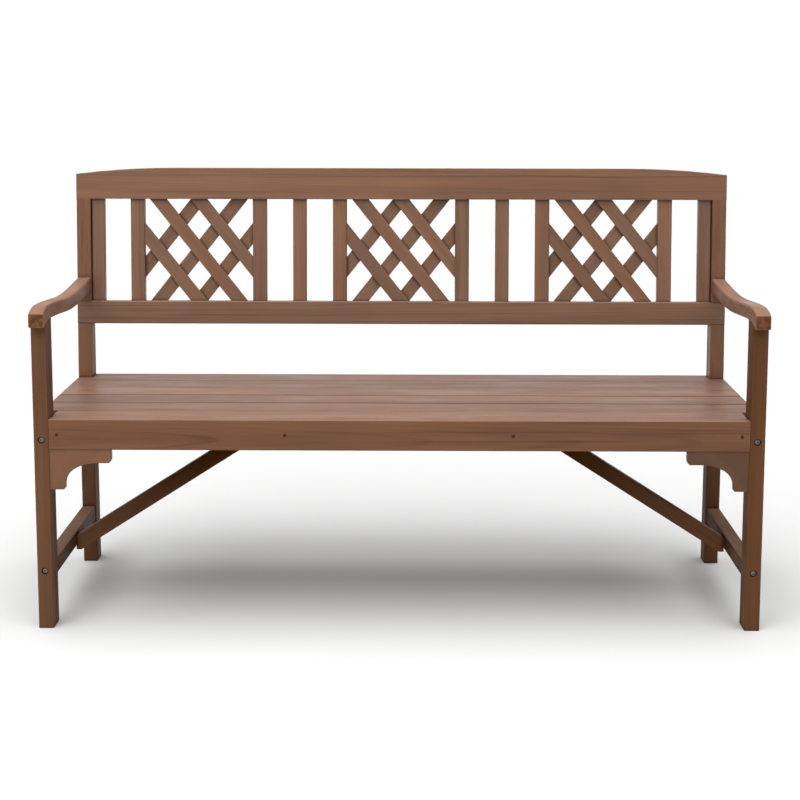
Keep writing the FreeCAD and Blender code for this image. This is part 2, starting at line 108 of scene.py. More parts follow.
class TimberLook(bpy.types.PropertyGroup):
    """Stain and grain of the timbers."""

    early_colour: colour_of("Pale wood", "Colour of the soft, pale part of each ring", (0.178, 0.080, 0.037))
    late_colour: colour_of("Dark wood", "Colour of the hard, dark edge of each ring", (0.095, 0.038, 0.016))
    # The knot colour is also what grime and painted shade darken towards
    knot_colour: colour_of("Knots", "Colour at the heart of a knot", (0.022, 0.009, 0.004))
    end_tint: colour_of("Sawn ends", "Tint of the stain where a sawn end drank it", (0.50, 0.33, 0.09))
    # Painted sheen: upward faces are mixed towards this pale colour as if they reflected the sky
    painted_sheen_colour: colour_of("Painted sky sheen", "Colour of the sheen painted on upward faces", (0.32, 0.205, 0.145))
    # Painted shade: faces under the seat are tinted darker to stand in for the seat's shade
    painted_shade_tint: colour_of("Painted seat shade", "Tint of the shade painted under the seat", (0.46, 0.34, 0.08))
    seat_gloss: colour_of("Seat gloss", "Tint of what the stained slats reflect", (1.0, 0.87, 0.98))
    ring_spacing: length_of("Ring spacing", "Distance from one growth ring to the next", 0.0034)
    ring_waver: length_of("Ring waver", "How far the rings wander from a true circle", 0.008)
    fibre_width: length_of("Fibre width", "Width of the fine streaks along the grain", 0.0022)
    knot_spacing: length_of("Knot spacing", "Usual distance between likely knots", 0.21)
    knot_size: length_of("Knot size", "Radius of the dark heart of a knot", 0.006)
    wear_width: length_of("Wear width", "Reach of the wear from an edge", 0.0025)
    edge_wear: share_of("Edge wear", "How much paler the stain is along the edges", 0.14)
    # Painted shade: joints, gaps and corners darken within this reach of ambient occlusion, as grime and
    # shade
    grime_and_shade_reach: length_of("Grime reach", "How far grime and painted shade reach out of a gap", 0.007)
    relief_height: length_of("Relief", "Height of the fibres and rings", 0.0004)
    relief_strength: share_of("Relief strength", "How strongly the relief shows", 0.3)
    coat_share: share_of("Clear coat", "How much of the shine is a clear coat", 0.25)
    coat_roughness: share_of("Clear coat roughness", "How dull the clear coat is", 0.32)
    legs: stain_of("Front legs and side rails", 0.65, 0.02, grime_and_shade=0.3)
    stretchers: stain_of("Stretchers", 0.48, 0.02, painted_sheen=0.22)
    # Rear legs: painted shade on their front and inner faces below the seat
    posts: stain_of("Rear legs", 0.82, 0.28, painted_shade=(0.7, 0.7, 0.0))
    arms: stain_of("Arms", 1.08, 0.20, painted_sheen=0.24)
    slats: stain_of("Seat slats", 0.88, 0.70, figure=3.2, painted_sheen=0.10, grime_and_shade=0.4)
    front_slat: stain_of("Front seat slat", 1.05, 0.74, figure=2.8, painted_sheen=0.10, grime_and_shade=0.4)
    # Painted shade along the slats' front edges, standing in for the dark gaps between the slats
    slat_gaps: setting(
        "Slat gaps", "How dark the shade painted on each slat's front edge is, from the front one",
        (0.0, 0.0, 0.95, 1.0, 0.0, 0.45), size=6, min=0.0, max=1.0)
    apron: stain_of("Apron", 0.75, 0.22, figure=1.35, painted_sheen=0.32)
    left_bracket: stain_of("Left corner bracket", 0.88, 0.30, figure=0.7)
    # The right bracket's tone, lower than the left's, is painted shade: the light falls off to the right
    right_bracket: stain_of("Right corner bracket", 0.54, 0.30, figure=0.7)
    # A low tone: painted shade under the seat on top of the stain
    bearers: stain_of("Rear rail and bearers under the slats", 0.60, 0.02)
    # Braces: a low tone and painted shade that grows towards the seat, both standing in for the seat's shade
    braces: stain_of("Braces", 0.72, 0.02, painted_shade=(0.0, 1.0, 1.0))
    back: stain_of("Rails and uprights of the back", 0.93, 0.42, figure=1.35, painted_sheen=0.3)
    trellis: stain_of("Trellis strips", 0.95, 0.45, figure=0.8)


class BracketShape(bpy.types.PropertyGroup):
    """Outline of a corner bracket, measured along the apron and down from it."""

    limb_depth: length_of("Upper limb", "Depth of the limb along the apron", 0.028)
    limb_width: length_of("Lower limb", "Width of the limb down the leg", 0.029)
    hollow_length: length_of("Hollow length", "Length of the hollow along the apron", 0.066)
    hollow_height: length_of("Hollow height", "Height of the hollow down the leg", 0.046)
    nose: length_of("Nose", "Rounding under the free end", 0.006)
    toe: length_of("Toe", "Rounding of the lower limb's corner", 0.002)
    ease: length_of("Eased edge", "Rounding along the sawn edges", 0.0010)
    screw_head: length_of("Screw head", "Diameter of the sinking for the screw's head", 0.008)
    screw_sink: length_of("Screw sinking", "Depth of the sinking for the screw's head", 0.0022)
    screw_hole: length_of("Screw hole", "Diameter of the hole for the screw's shank", 0.0042)


class FixingLook(bpy.types.PropertyGroup):
    """Sizes and colours of the metal fixings."""

    zinc_colour: colour_of("Zinc", "Colour of the plating on bolts and barrel nuts", (0.22, 0.225, 0.23))
    coating_colour: colour_of("Coating", "Colour of the brown coating on the screws", (0.080, 0.025, 0.009))
    bolt_head: length_of("Bolt head", "Diameter of a bolt's head", 0.010)
    bolt_head_height: length_of("Bolt head height", "Height of a bolt's head", 0.006)
    bolt_shank: length_of("Bolt shank", "Diameter of a bolt's shank", 0.006)
    socket_width: length_of("Socket", "Width across the corners of a bolt's hexagon socket", 0.0058)
    nut_width: length_of("Barrel nut", "Diameter of a barrel nut", 0.010)
    nut_bore: length_of("Nut bore", "Diameter of the hole across a barrel nut", 0.0064)
    screw_head: length_of("Screw head", "Diameter of a screw's head", 0.0076)
    screw_shank: length_of("Screw shank", "Diameter of a screw's shank", 0.004)


class StageLook(bpy.types.PropertyGroup):
    """Camera, lights and floor."""

    camera_place: place_of("Camera place", "Where the camera stands", (0.0267, -3.5243, 1.1416))
    camera_yaw: angle_of("Camera yaw", "Turn of the camera to the right", -0.4365)
    camera_pitch: angle_of("Camera pitch", "Tilt of the camera below the horizon", 7.9659)
    camera_roll: angle_of("Camera roll", "Turn of the camera about its own line of sight", 0.0941)
    focal_length: setting("Focal length", "Lens for a sensor 36 mm wide", 74.437, subtype="DISTANCE_CAMERA")
    lens_shift: setting("Lens shift", "Vertical shift, as a share of the picture's side", -0.125)
    sun_strength: setting("Overhead light", "Strength of the broad soft light overhead", 4.7, min=0.0)
    sun_height: angle_of("Overhead light height", "Height of the overhead light above the horizon", 76.0)
    sun_turn: angle_of("Overhead light turn", "Turn of the overhead light from the front", -12.0)
    sun_spread: angle_of("Overhead light spread", "Width of the overhead light in the sky", 80.0)
    front_power: setting(
        "Front light", "Power of the soft light in front, on the left", 26.0, unit="POWER", min=0.0)
    front_size: length_of("Front light size", "Side of the front light's square panel", 1.6)
    front_place: place_of("Front light place", "Where the front light hangs", (-1.7, -2.6, 2.4))
    front_target: place_of("Front light target", "Where the front light points", (0.0, 0.0, 0.6))
    dome_strength: setting("Dome", "Brightness of the white dome above", 0.46, min=0.0)
    horizon_strength: setting("Horizon", "Brightness of the white band along the horizon", 1.0, min=0.0)
    rim_strength: setting("Floor's end", "Brightness added along the floor's end", 0.15, min=0.0)
    floor_reach: length_of("Floor reach", "How far the floor reaches to each side", 150.0)
    floor_colour: colour_of("Floor", "Colour of the floor", (0.52, 0.52, 0.52))


def mesh_axes(mesh):
    """Length, width and thickness directions of a piece, as rows.

    They follow from how much of its surface faces each way: the least of it faces along the piece.
    """
    count = len(mesh.polygons)
    normal = np.empty(count * 3)
    area = np.empty(count)
    mesh.polygons.foreach_get("normal", normal)
    mesh.polygons.foreach_get("area", area)
    normal = normal.reshape(-1, 3)
    facing = (normal * area[:, None]).T @ normal
    axes = np.linalg.eigh(facing)[1].T
    along, across = (row if row[np.abs(row).argmax()] > 0 else -row for row in axes[:2])
    return Matrix((along, across, np.cross(along, across)))


def put(tree, kind, **settings):
    """Adds a node with settings."""
    node = tree.nodes.new(kind)
    for name, value in settings.items():
        setattr(node, name, value)
    return node


def feed(socket, value):
    """Links a socket to another one, or sets its value."""
    if isinstance(value, bpy.types.NodeSocket):
        socket.id_data.links.new(value, socket)
    else:
        socket.default_value = value


def fill(node, values):
    """Feeds a node's inputs in order; None leaves an input as it is."""
    for socket, value in zip(node.inputs, values):
        if value is not None:
            feed(socket, value)


def feed_named(node, values):
    """Feeds a node's inputs by their names."""
    for name, value in values.items():
        feed(node.inputs[name], value)


def add_sockets(tree, side, kind, *titles):
    """Adds inputs or outputs of one kind to a tree."""
    for title in titles:
        tree.interface.new_socket(title, in_out=side, socket_type="NodeSocket" + kind)


def lay_out(tree, rows=10, width=220, height=180):
    """Sets a tree's nodes out in columns, in the order of their making."""
    for index, node in enumerate(tree.nodes):
        node.location = (index // rows * width, -(index % rows) * height)


def maths(tree, operation, *values):
    """A Math node's result."""
    node = put(tree, "ShaderNodeMath", operation=operation)
    fill(node, values)
    return node.outputs[0]


def plus(tree, first, second):
    """The sum of two values."""
    return maths(tree, "ADD", first, second)


def less(tree, first, second):
    """The difference of two values."""
    return maths(tree, "SUBTRACT", first, second)


def times(tree, first, second):
    """The product of two values."""
    return maths(tree, "MULTIPLY", first, second)


def vectors(tree, operation, *values):
    """A Vector Math node's result."""
    node = put(tree, "ShaderNodeVectorMath", operation=operation)
    fill(node, values)
    return node.outputs["Value" if operation in {"LENGTH", "DOT_PRODUCT"} else "Vector"]


def joined(tree, x=0.0, y=0.0, z=0.0):
    """A vector of three values."""
    node = put(tree, "ShaderNodeCombineXYZ")
    fill(node, (x, y, z))
    return node.outputs[0]


def parted(tree, vector):
    """The three values of a vector."""
    node = put(tree, "ShaderNodeSeparateXYZ")
    feed(node.inputs[0], vector)
    return tuple(node.outputs)


def spread(tree, value, low, high, new_low=0.0, new_high=1.0):
    """A smooth Map Range."""
    node = put(tree, "ShaderNodeMapRange", interpolation_type="SMOOTHSTEP")
    fill(node, (value, low, high, new_low, new_high))
    return node.outputs[0]


def noise(tree, place, scale, detail, roughness=0.5):
    """A Noise Texture's value, with so many features to the metre each way."""
    node = put(tree, "ShaderNodeTexNoise")
    vector = vectors(tree, "MULTIPLY", place, scale)
    feed_named(node, {"Vector": vector, "Scale": 1.0, "Detail": detail, "Roughness": roughness})
    return node.outputs["Fac"]


def blend(tree, kind, factor, first, second):
    """A colour mix."""
    node = put(tree, "ShaderNodeMix", data_type="RGBA", blend_type=kind)
    for number, given in ((0, factor), (6, first), (7, second)):
        feed(node.inputs[number], given)
    return node.outputs[2]


def bump(tree, height, strength, distance):
    """A Bump node's normal."""
    node = put(tree, "ShaderNodeBump")
    feed_named(node, {"Height": height, "Strength": strength, "Distance": distance})
    return node.outputs[0]


def opaque(colour):
    """A colour with full alpha."""
    return (*colour, 1.0)


def new_material(name):
    """A material with a bare shader: the material, its tree and the shader."""
    material = bpy.data.materials.new(name)
    material.use_nodes = True
    tree = material.node_tree
    tree.nodes.clear()
    shader = put(tree, "ShaderNodeBsdfPrincipled")
    output = put(tree, "ShaderNodeOutputMaterial")
    feed(output.inputs["Surface"], shader.outputs[0])
    return material, tree, shader


def knots(tree, look, place):
    """The heart of each knot and the wood near it: round spots in some cells of a stretched pattern."""
    stretch = (1.0, 1.9, 1.9)  # cells are narrower across the grain
    scarcity = 0.62  # share of the cells without a knot
    solid, swirl = 0.35, 5.0  # reach of the solid heart and of the bent grain, in knot sizes
    cell = put(tree, "ShaderNodeTexVoronoi", feature="F1", distance="EUCLIDEAN")
    feed(cell.inputs["Vector"], vectors(tree, "MULTIPLY", place, stretch))
    feed(cell.inputs["Scale"], 1.0 / look.knot_spacing)
    reach = times(tree, cell.outputs["Distance"], look.knot_spacing)
    picked = put(tree, "ShaderNodeSeparateColor")
    feed(picked.inputs[0], cell.outputs["Color"])
    has_knot = maths(tree, "GREATER_THAN", picked.outputs[0], scarcity)
    core = spread(tree, reach, look.knot_size * solid, look.knot_size, 1.0, 0.0)
    near = spread(tree, reach, look.knot_size, look.knot_size * swirl, 1.0, 0.0)
    return times(tree, core, has_knot), times(tree, near, has_knot)


def growth_rings(tree, look, place, heart, drift, near_knot):
    """Growth rings about a heart beside the timber, leaning along it, wavering and bowed round knots."""
    bow = 1.4  # how far rings bow round a knot, in ring spacings
    start, full, end = 0.62, 0.94, 0.95  # where in a ring its dark edge starts, is full and ends
    faintest = 0.2  # strength of the faintest ring
    waver = noise(tree, place, (1.8, 14.0, 14.0), 2.0)
    lean = joined(tree, z=times(tree, parted(tree, place)[0], drift))
    centred = vectors(tree, "SUBTRACT", vectors(tree, "ADD", place, lean), heart)
    radius = vectors(tree, "LENGTH", vectors(tree, "MULTIPLY", centred, (0.0, 1.0, 1.0)))
    radius = plus(tree, radius, times(tree, waver, look.ring_waver))
    radius = plus(tree, radius, times(tree, near_knot, look.ring_spacing * bow))
    count = maths(tree, "DIVIDE", radius, look.ring_spacing)
    phase = maths(tree, "FRACT", count)
    season = put(tree, "ShaderNodeTexWhiteNoise", noise_dimensions="1D")
    feed(season.inputs["W"], maths(tree, "FLOOR", count))
    strength = plus(tree, times(tree, season.outputs["Value"], 1.0 - faintest), faintest)
    ring = times(tree, spread(tree, phase, start, full), spread(tree, phase, end, 1.0, 1.0, 0.0))
    return times(tree, ring, strength)


def timber_group(look):
    """The stained grain, from a place and a facing in the timber's own directions: X along the grain."""
    tree = bpy.data.node_groups.new("stained_grain", "ShaderNodeTree")
    add_sockets(tree, "INPUT", "Vector", "Place", "Facing", "Heart")
    add_sockets(
        tree, "INPUT", "Float", "Drift", "Tone", "Warmth", "Figure", "Fade", "Grime and shade", "Painted shade", "Gap")
    add_sockets(tree, "OUTPUT", "Color", "Colour")
    add_sockets(tree, "OUTPUT", "Float", "Roughness", "Height")
    given = put(tree, "NodeGroupInput").outputs
    place = given["Place"]
    early, late, knot_grime_and_shade = opaque(look.early_colour), opaque(look.late_colour), opaque(look.knot_colour)
    bareness = 1.5  # how much paler rubbed edges are
    pale = opaque(min(1.0, channel * bareness) for channel in look.early_colour)
    core, near = knots(tree, look, place)
    ring = growth_rings(tree, look, place, given["Heart"], given["Drift"], near)

    # Fine fibres, and broad bands where the stain soaked in more, each darker by its own depth
    band_depth, fibre_depth, line_depth, ring_depth = 0.34, 0.22, 0.42, 0.34
    usual = 0.35  # how dark the grain is on average, which the figure doesn't change
    swirl_depth, knot_depth = 0.35, 0.85
    slimness = 0.012  # width of a fibre as a share of its length
    thin = 1.0 / look.fibre_width
    fibre = noise(tree, place, (thin * slimness, thin, thin), 3.0, 0.62)
    band = noise(tree, place, (1.3, 34.0, 34.0), 3.0)
    streak = noise(tree, place, (1.1, 170.0, 170.0), 2.0)
    blotch = noise(tree, place, (4.0, 11.0, 11.0), 2.0)
    soaked = spread(tree, band, 0.30, 0.72, band_depth, 0.0)
    fine = spread(tree, fibre, 0.30, 0.75, fibre_depth, 0.0)
    lines = spread(tree, streak, 0.26, 0.44, line_depth, 0.0)
    dark = plus(tree, plus(tree, soaked, fine), times(tree, ring, ring_depth))
    dark = less(tree, plus(tree, dark, lines), usual)
    dark = plus(tree, times(tree, dark, given["Figure"]), usual)
    colour = blend(tree, "MIX", dark, early, late)
    colour = blend(tree, "MIX", times(tree, near, swirl_depth), colour, late)
    colour = blend(tree, "MIX", times(tree, core, knot_depth), colour, knot_grime_and_shade)

    # Sawn ends drink the stain, unevenly; edges lose some of it, and most of all round the ends
    least_soaked, end_wear = 0.45, 0.5
    along, across, _ = parted(tree, given["Facing"])
    end_grain = spread(tree, maths(tree, "ABSOLUTE", along), 0.80, 0.97)
    mottle = noise(tree, place, (0.0, 75.0, 75.0), 2.0)
    soaked_end = times(tree, end_grain, spread(tree, mottle, 0.35, 0.62, least_soaked, 1.0))
    colour = blend(tree, "MULTIPLY", soaked_end, colour, opaque(look.end_tint))
    rounded = put(tree, "ShaderNodeBevel", samples=4)
    feed(rounded.inputs["Radius"], look.wear_width)
    true_facing = put(tree, "ShaderNodeNewGeometry").outputs["Normal"]
    agree = vectors(tree, "DOT_PRODUCT", rounded.outputs[0], true_facing)
    rub = times(tree, spread(tree, agree, 0.995, 0.90), spread(tree, blotch, 0.35, 0.62))
    worn = plus(tree, times(tree, end_grain, end_wear), look.edge_wear)
    colour = blend(tree, "MIX", times(tree, rub, worn), colour, pale)

    # Grime and painted shade in joints and corners, and patchy painted shade on slats' front edges by a gap
    faintest_gap_shade = 0.60
    closeness = put(tree, "ShaderNodeAmbientOcclusion", samples=4)
    feed(closeness.inputs["Distance"], look.grime_and_shade_reach)
    shade_and_grime_mask = spread(tree, closeness.outputs["AO"], 0.58, 0.97, given["Grime and shade"], 0.0)
    # Patchy painted shade on front-facing edges of slats with a dark gap
    patchy = noise(tree, place, (2.6, 0.0, 0.0), 2.0)
    gap_shade = times(tree, given["Gap"], spread(tree, patchy, 0.30, 0.60, faintest_gap_shade, 1.0))
    gap_shade = times(tree, gap_shade, spread(tree, across, -0.08, -0.40))
    shade_and_grime_mask = maths(tree, "MAXIMUM", shade_and_grime_mask, gap_shade)
    colour = blend(tree, "MIX", shade_and_grime_mask, colour, knot_grime_and_shade)

    # Blotched tone of the stain, a painted sheen on upward faces, patchy along the fibres, and painted seat
    # shade
    darkest, palest, faintest_sheen, strongest_sheen = 0.89, 1.10, 0.75, 1.15
    tint = put(tree, "ShaderNodeHueSaturation")
    value = times(tree, given["Tone"], spread(tree, blotch, 0.2, 0.8, darkest, palest))
    feed_named(tint, {"Saturation": given["Warmth"], "Value": value, "Color": colour})
    # Painted sheen on upward faces, kept out of the grime and shade
    painted_sheen_mask = times(tree, given["Fade"], less(tree, 1.0, shade_and_grime_mask))
    painted_sheen_mask = times(tree, painted_sheen_mask, spread(tree, fibre, 0.25, 0.75, faintest_sheen, strongest_sheen))
    colour = blend(tree, "MIX", painted_sheen_mask, tint.outputs[0], opaque(look.painted_sheen_colour))
    # Painted shade: faces that the seat shades are tinted darker
    colour = blend(tree, "MULTIPLY", given["Painted shade"], colour, opaque(look.painted_shade_tint))

    # Uneven gloss: duller under grime and painted shade and on sawn ends, a little shinier on dark rings
    usual_roughness, unevenness = 0.44, 0.14
    fibre_roughness, ring_roughness, grime_and_shade_roughness, end_roughness = 0.16, -0.06, 0.5, 0.4
    rough = plus(tree, times(tree, fibre, fibre_roughness), times(tree, ring, ring_roughness))
    dull = times(tree, plus(tree, shade_and_grime_mask, given["Painted shade"]), grime_and_shade_roughness)
    dull = plus(tree, dull, times(tree, end_grain, end_roughness))
    patches = noise(tree, place, (6.0, 22.0, 22.0), 3.0)
    dull = plus(tree, dull, spread(tree, patches, 0.30, 0.70, -unevenness, unevenness))
    rough = plus(tree, rough, plus(tree, dull, usual_roughness))

    # Fibres and rings stand out, knots are sunk
    fibre_relief, ring_relief, knot_relief = 0.6, 0.4, 0.5
    relief = plus(tree, times(tree, fibre, fibre_relief), times(tree, ring, ring_relief))
    relief = less(tree, relief, times(tree, core, knot_relief))
    fill(put(tree, "NodeGroupOutput"), (colour, rough, relief))
    lay_out(tree)
    return tree


def painted_shade_by_height(tree, place, outward, foot, under, above):
    """How much painted seat shade darkens a face that looks to the front or the middle of the bench."""
    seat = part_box("seat_slat_1")[1].z
    foot_end, under_start, under_end, above_start = seat - 0.28, seat - 0.11, seat - 0.14, seat + 0.02
    x, _, z = parted(tree, place)
    low_part = spread(tree, z, foot_end, under_start, foot, under)
    high_part = spread(tree, z, under_end, above_start, 0.0, above - under)
    open_turn, sheltered_turn = -0.2, -0.7
    frontward = spread(tree, outward[1], open_turn, sheltered_turn)
    inward = times(tree, outward[0], maths(tree, "SIGN", x))
    inward = spread(tree, inward, open_turn, sheltered_turn)
    return times(tree, plus(tree, low_part, high_part), maths(tree, "MAXIMUM", frontward, inward))


def timber_material(look, node, turn, coat, gap=0.0, gloss=WHITE):
    """Stained wood for one piece, the grain along the piece and cut from its own place in a tree."""
    tone, shine, figure, painted_sheen, grime_and_shade, *painted_shade = coat
    group = bpy.data.node_groups.get("stained_grain") or timber_group(look)
    chance = random.Random(node)
    low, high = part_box(node)
    middle = (low + high) / 2

    # Its place in a tree, how the rings lean along it and where their heart is
    apart = Vector((chance.uniform(-40, 40), chance.uniform(-3, 3), chance.uniform(-3, 3)))
    drift = chance.choice((-1, 1)) * chance.uniform(0.004, 0.02)
    side = chance.choice((-1, 1))
    heart = Vector((0, chance.uniform(-0.05, 0.05), side * chance.uniform(0.02, 0.07) + drift * apart.x))

    material, tree, shader = new_material("timber_" + node)
    where = put(tree, "ShaderNodeTexCoord").outputs
    outward = parted(tree, where["Normal"])
    lie = put(tree, "ShaderNodeMapping", vector_type="POINT")
    fill(lie, (where["Object"], apart - turn @ middle, turn.to_euler()))
    facing = put(tree, "ShaderNodeMapping", vector_type="VECTOR")
    feed_named(facing, {"Vector": where["Normal"], "Rotation": turn.to_euler()})
    settings = {
        "Place": lie.outputs[0], "Facing": facing.outputs[0], "Heart": apart + heart, "Drift": drift,
        "Tone": tone * chance.uniform(0.93, 1.07), "Warmth": chance.uniform(0.95, 1.05), "Figure": figure,
        # Painted sheen grows on faces that look upward
        "Fade": spread(tree, outward[2], 0.55, 0.92, 0.0, painted_sheen), "Grime and shade": grime_and_shade, "Gap": gap,
    }
    # Painted shade, by height, on faces that look to the front or the middle
    if any(painted_shade):
        settings["Painted shade"] = painted_shade_by_height(tree, where["Object"], outward, *painted_shade)
    grain = put(tree, "ShaderNodeGroup", node_tree=group)
    feed_named(grain, settings)
    relief = bump(tree, grain.outputs["Height"], look.relief_strength, look.relief_height)
    feed_named(shader, {
        "Base Color": grain.outputs["Colour"], "Roughness": grain.outputs["Roughness"], "Normal": relief,
        "Coat Weight": shine * look.coat_share, "Coat Roughness": look.coat_roughness,
        "Specular IOR Level": shine, "Specular Tint": opaque(gloss)})
    lay_out(tree)
    return material


def stain(look, coat, *prefixes, **finish):
    """Gives every CAD timber whose name starts so its own stained wood."""
    chosen = [name for name in sorted(nodes) if name.startswith(prefixes)]
    if not chosen:
        raise RuntimeError("no timber is named like %s" % (prefixes,))
    for name in chosen:
        material = timber_material(look, name, mesh_axes(nodes[name].data), coat, **finish)
        nodes[name].data.materials.clear()
        nodes[name].data.materials.append(material)


def metal_material(name, colour, metallic, roughness, shine=0.5):
    """A coated metal: cloudy colour, fine scratches and uneven gloss."""
    cloud_tone, unevenness, scratch_strength, scratch_depth = 0.62, 0.2, 0.25, 0.0001
    material, tree, shader = new_material(name)
    where = put(tree, "ShaderNodeTexCoord").outputs["Object"]
    cloud = noise(tree, where, (380.0, 380.0, 380.0), 3.0)
    scratch = noise(tree, where, (1400.0, 1400.0, 9000.0), 2.0)
    dull = opaque(channel * cloud_tone for channel in colour)
    clouded = blend(tree, "MIX", spread(tree, cloud, 0.35, 0.7), opaque(colour), dull)
    feed_named(shader, {
        "Base Color": clouded, "Roughness": plus(tree, times(tree, scratch, unevenness), roughness),
        "Normal": bump(tree, scratch, scratch_strength, scratch_depth), "Metallic": metallic,
        "Specular IOR Level": shine})
    lay_out(tree)
    return material


def fixing_places(node):
    """Where each fixing of a CAD group has its outer end, which way that end faces, and how long it is."""
    near_end = 0.8  # share of half the length at which an end begins
    merged = bmesh.new()
    merged.from_mesh(nodes[node].data)
    bmesh.ops.remove_doubles(merged, verts=merged.verts, dist=SAME_POINT)
    waiting = set(merged.verts)
    places = []
    while waiting:
        island = []
        open_verts = [waiting.pop()]
        while open_verts:
            vert = open_verts.pop()
            island.append(vert.co.copy())
            for edge in vert.link_edges:
                other = edge.other_vert(vert)
                if other in waiting:
                    waiting.remove(other)
                    open_verts.append(other)
        points = np.array(island)
        middle = (points.min(0) + points.max(0)) / 2
        axis = np.linalg.eigh(np.cov((points - middle).T))[1][:, 2]
        reach = (points - middle) @ axis
        width = np.linalg.norm(points - middle - reach[:, None] * axis, axis=1)
        half = (reach.max() - reach.min()) / 2
        # The outer end is the wider one, or the lower one of a plain barrel
        outer = width[reach > near_end * half].max() - width[reach < -near_end * half].max()
        aim = axis if outer > 0 else -axis
        if abs(outer) < SAME_LENGTH:
            aim = axis * -np.sign(axis[2])
        places.append((Vector(middle + aim * half), Vector(aim), 2 * half))
    merged.free()
    return sorted(places, key=lambda place: tuple(round(value, 5) for value in place[0]))


def geometry(tree, kind, *values, **settings):
    """A geometry node's first output, its inputs filled in order."""
    node = put(tree, "GeometryNode" + kind, **settings)
    fill(node, values)
    return node.outputs[0]


def shape_tree(name, sizes):
    """A geometry-nodes tree with inputs for a mesh, each size and a material, and those inputs."""
    tree = bpy.data.node_groups.new(name, "GeometryNodeTree")
    add_sockets(tree, "INPUT", "Geometry", "Geometry")
    add_sockets(tree, "INPUT", "Float", *sizes)
    add_sockets(tree, "INPUT", "Material", "Material")
    add_sockets(tree, "OUTPUT", "Geometry", "Geometry")
    for title in sizes:
        tree.interface.items_tree[title].subtype = "DISTANCE"
    return tree, put(tree, "NodeGroupInput").outputs


def end_tree(tree, shape, material):
    """Ends a geometry-nodes tree with a real mesh of that material."""
    solid = put(tree, "GeometryNodeRealizeInstances")
    finished = put(tree, "GeometryNodeSetMaterial")
    fill(solid, (shape,))
    fill(finished, (solid.outputs[0], None, material))
    fill(put(tree, "NodeGroupOutput"), finished.outputs)
    lay_out(tree)


def chosen_by(tree, index, values):
    """The value of that index."""
    node = put(tree, "GeometryNodeIndexSwitch", data_type="FLOAT")
    while len(node.index_switch_items) < len(values):
        node.index_switch_items.new()
    fill(node, (index, *values))
    return node.outputs[0]


def turned(tree, segments, *profile):
    """A closed shape turned about Z, from (radius, height) pairs that start and end on the axis."""
    last = len(profile) - 1
    grid = geometry(tree, "MeshGrid", 1.0, 1.0, segments + 1, last + 1)
    x, y, _ = parted(tree, geometry(tree, "InputPosition"))
    step = maths(tree, "ROUND", times(tree, plus(tree, y, 0.5), float(last)))
    angle = times(tree, x, 2.0 * math.pi)
    radius = chosen_by(tree, step, [pair[0] for pair in profile])
    height = chosen_by(tree, step, [pair[1] for pair in profile])
    sideways = times(tree, radius, maths(tree, "COSINE", angle))
    rim = joined(tree, sideways, times(tree, radius, maths(tree, "SINE", angle)), height)
    shaped = geometry(tree, "SetPosition", grid, None, rim)
    return geometry(tree, "MergeByDistance", shaped, None, 0.1 * SAME_POINT)


def drill(tree, sides, width, depth):
    """A cylinder about the origin, along Z."""
    across = times(tree, width, 0.5)
    return geometry(tree, "MeshCylinder", sides, None, None, across, depth, fill_type="NGON")


def block(tree, x, y, z):
    """A block of that size about the origin."""
    return geometry(tree, "MeshCube", joined(tree, x, y, z))


def cut(tree, shape, *tools):
    """The shape with the tools cut out of it."""
    node = put(tree, "GeometryNodeMeshBoolean", operation="DIFFERENCE", solver="EXACT")
    feed(node.inputs["Mesh 1"], shape)
    for tool in tools:
        feed(node.inputs["Mesh 2"], tool)
    return node.outputs[0]


